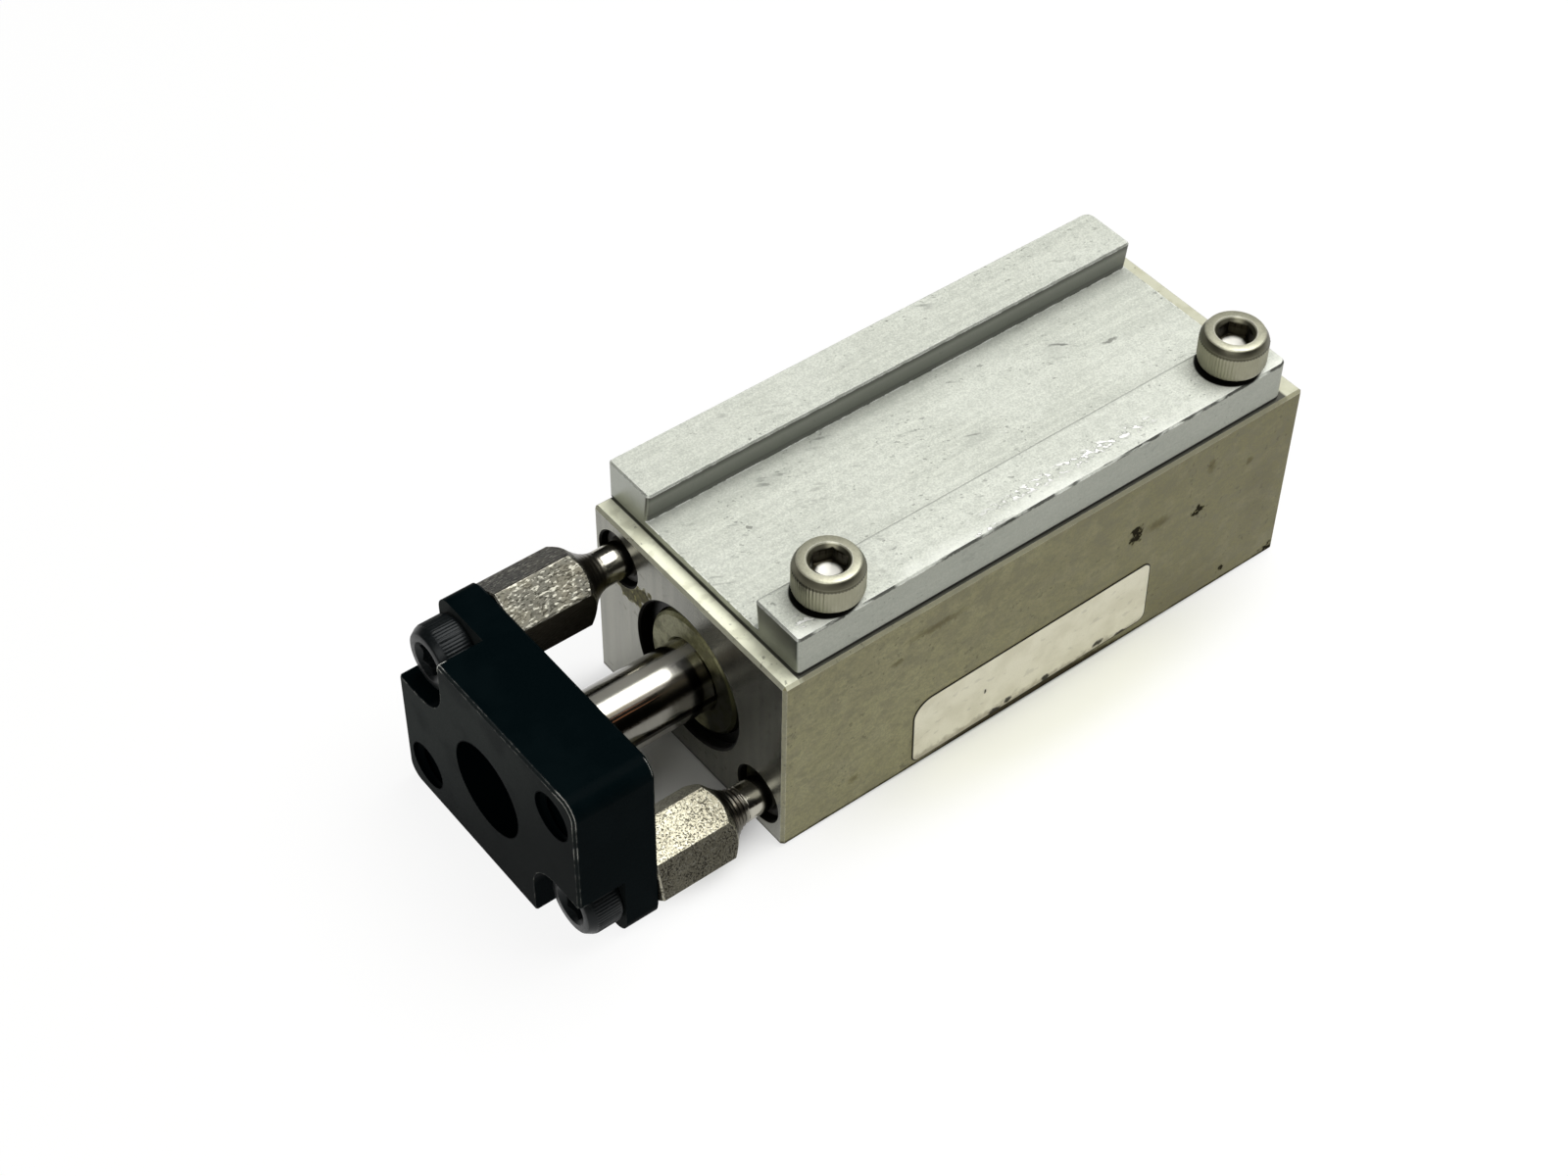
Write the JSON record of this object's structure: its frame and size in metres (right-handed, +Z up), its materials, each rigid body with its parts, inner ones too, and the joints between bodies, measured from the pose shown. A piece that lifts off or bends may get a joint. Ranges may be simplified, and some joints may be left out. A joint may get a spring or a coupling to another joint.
{
  "type": "guided pneumatic cylinder",
  "caption": "Compact double-acting air cylinder: square block with a dovetail channel on top, a rod and hexagon guide pins that carry a notched front tool plate.",
  "frame": {"origin": "on the plane of the block's underside, below the rod axis, at the middle of the part's length with the rod drawn in", "axes": "+X along the rod, the way it comes out; +Y towards the side that carries the bare label; +Z up, through the channel plate"},
  "size_m": [0.0702, 0.0238, 0.0252],
  "materials": {
    "body_anodised": "hard anodised, champagne grey, worn",
    "channel_anodised": "clear anodised, scratched",
    "stainless_screw": "stainless steel, knurled head",
    "bearing_alloy": "turned bearing alloy, dulled",
    "seal_rubber": "moulded nitrile rubber",
    "black_oxide_steel": "black oxide",
    "chromed_rod": "ground and hard chromed",
    "hexagon_steel": "turned from drawn hexagon bar, pitted",
    "piston_aluminium": "turned aluminium",
    "wear_strip": "filled plastic strip",
    "black_anodised": "black anodised, bright worn edges"
  },
  "bodies": {
    "housing": {"cylinder_body": "body_anodised", "channel_plate": "channel_anodised", "channel_plate_screws": "stainless_screw", "rod_cover": "bearing_alloy", "rod_cover_oring": "seal_rubber", "rod_cover_retaining_ring": "black_oxide_steel", "rod_seal": "seal_rubber", "front_bumper": "seal_rubber", "end_cap": "piston_aluminium", "end_cap_oring": "seal_rubber", "end_cap_retaining_ring": "black_oxide_steel", "rear_bumper": "seal_rubber", "guide_bush_upper": "bearing_alloy", "guide_bush_lower": "bearing_alloy"},
    "slide": {"piston_rod": "chromed_rod", "piston": "piston_aluminium", "piston_wear_ring": "wear_strip", "piston_seal": "seal_rubber", "piston_nut": "hexagon_steel", "guide_pin_upper": "hexagon_steel", "guide_pin_lower": "hexagon_steel", "front_plate": "black_anodised", "front_plate_screws": "black_oxide_steel"}
  },
  "joints": [
    {"name": "rod_slide", "type": "slide", "parent": "housing", "child": "slide", "axis": [1, 0, 0], "range_m": [0, 0.02]}
  ]
}
